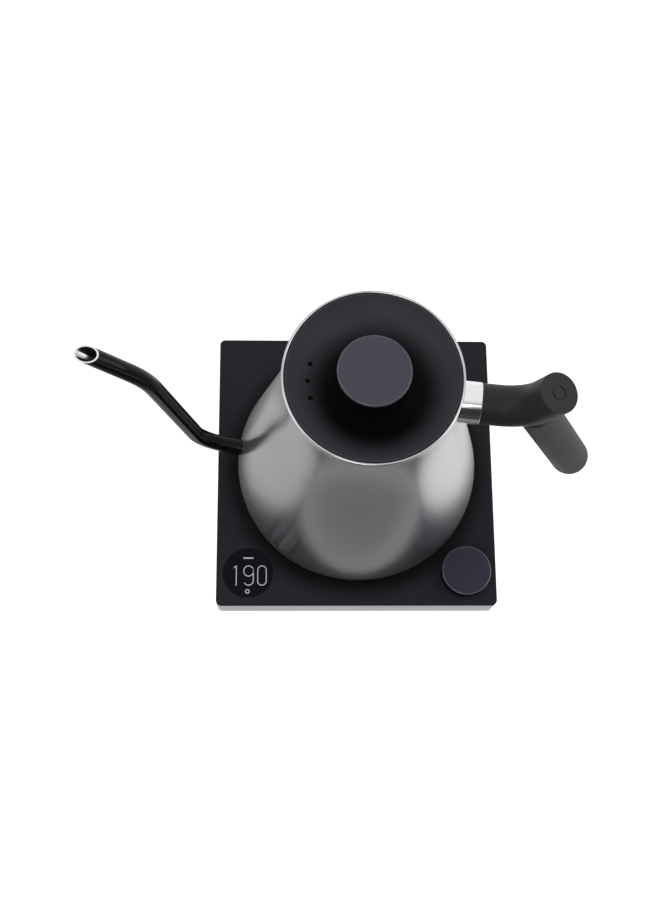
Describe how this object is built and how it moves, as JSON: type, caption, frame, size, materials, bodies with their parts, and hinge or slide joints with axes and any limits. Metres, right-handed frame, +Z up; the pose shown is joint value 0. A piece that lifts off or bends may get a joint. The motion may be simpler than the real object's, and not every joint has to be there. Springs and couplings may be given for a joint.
{
  "type": "electric kettle",
  "caption": "Gooseneck electric kettle: conical steel vessel with a thin curved spout and a straight hanging grip, lift-off lid, on a square base with a round display and a press dial.",
  "frame": {"origin": "centre of the square base on the table plane, which is the face of its middle pad", "axes": "+Z up, -Y the side of the base with the display and the dial, +X the side of the handle, -X the side of the spout"},
  "size_m": [0.2609, 0.1612, 0.196],
  "materials": {
    "base_top_black": "fine matt coating",
    "band_metal": "satin",
    "case_black": "moulded, matt",
    "foot_rubber": "matt",
    "fastener_steel": "zinc plated",
    "contact_brass": "bright",
    "lens_dark": "polished",
    "component_black": "moulded",
    "board_green": "solder mask",
    "body_steel": "satin, fine horizontal lines",
    "inner_steel": "satin",
    "spreader_aluminium": "rolled",
    "spout_black": "gloss black outside, bare steel inside and at the lip",
    "collar_chrome": "polished",
    "grip_black": "soft matt",
    "weight_iron": "as cast",
    "lid_black": "matt",
    "knob_black": "fine grained",
    "seal_silicone": "matt"
  },
  "bodies": {
    "base": {"base_bottom_cover": "case_black", "base_screws": "fastener_steel", "base_side_band": "band_metal", "base_top_plate": "base_top_black", "board_screws": "fastener_steel", "buzzer": "component_black", "capacitor": "component_black", "connector_contact_rings": "contact_brass", "connector_hub": "case_black", "connector_pin": "contact_brass", "connector_screws": "fastener_steel", "control_board": "board_green", "cord_gland": "foot_rubber", "display_lens": "lens_dark", "display_module": "component_black", "encoder_housing": "component_black", "encoder_nut": "fastener_steel", "hold_switch_housing": "component_black", "power_board": "board_green", "relay": "component_black", "rubber_feet": "foot_rubber", "transformer": "component_black"},
    "kettle_carrier": {"kettle_socket": "case_black"},
    "kettle": {"vessel": "body_steel", "vessel_floor": "inner_steel", "heat_spreader": "spreader_aluminium", "heating_element": "inner_steel", "underside_cover": "case_black", "underside_screws": "fastener_steel", "temperature_probe": "inner_steel", "thermal_cutout": "inner_steel", "spout": "spout_black", "handle_boss": "inner_steel", "handle_collar": "collar_chrome", "handle_grip": "grip_black", "grip_cap": "grip_black", "handle_bolt": "fastener_steel", "counterweight": "weight_iron"},
    "lid": {"lid_top": "lid_black", "lid_knob": "knob_black", "lid_knob_screw": "fastener_steel", "lid_liner": "inner_steel", "lid_seal": "seal_silicone"},
    "dial_rotor": {"encoder_rotor": "inner_steel"},
    "dial": {"encoder_shaft": "inner_steel", "dial_knob": "knob_black"},
    "hold_switch": {"hold_switch_slider": "component_black"}
  },
  "joints": [
    {"name": "kettle_lift", "type": "slide", "parent": "base", "child": "kettle_carrier", "axis": [0, 0, 1], "range_m": [0, 0.06]},
    {"name": "kettle_swivel", "type": "hinge", "parent": "kettle_carrier", "child": "kettle", "pos_m": [0, 0, 0.03], "axis": [0, 0, 1], "continuous": true},
    {"name": "lid_lift", "type": "slide", "parent": "kettle", "child": "lid", "axis": [0, 0, 1], "range_m": [0, 0.05]},
    {"name": "dial_turn", "type": "hinge", "parent": "base", "child": "dial_rotor", "pos_m": [0.062, -0.0615, 0.02], "axis": [0, 0, 1], "continuous": true},
    {"name": "dial_press", "type": "slide", "parent": "dial_rotor", "child": "dial", "axis": [0, 0, -1], "range_m": [0, 0.0008], "stiffness_N_per_m": 2500, "springref_m": -0.0004},
    {"name": "hold_switch_slide", "type": "slide", "parent": "base", "child": "hold_switch", "axis": [1, 0, 0], "range_m": [0, 0.003]}
  ]
}
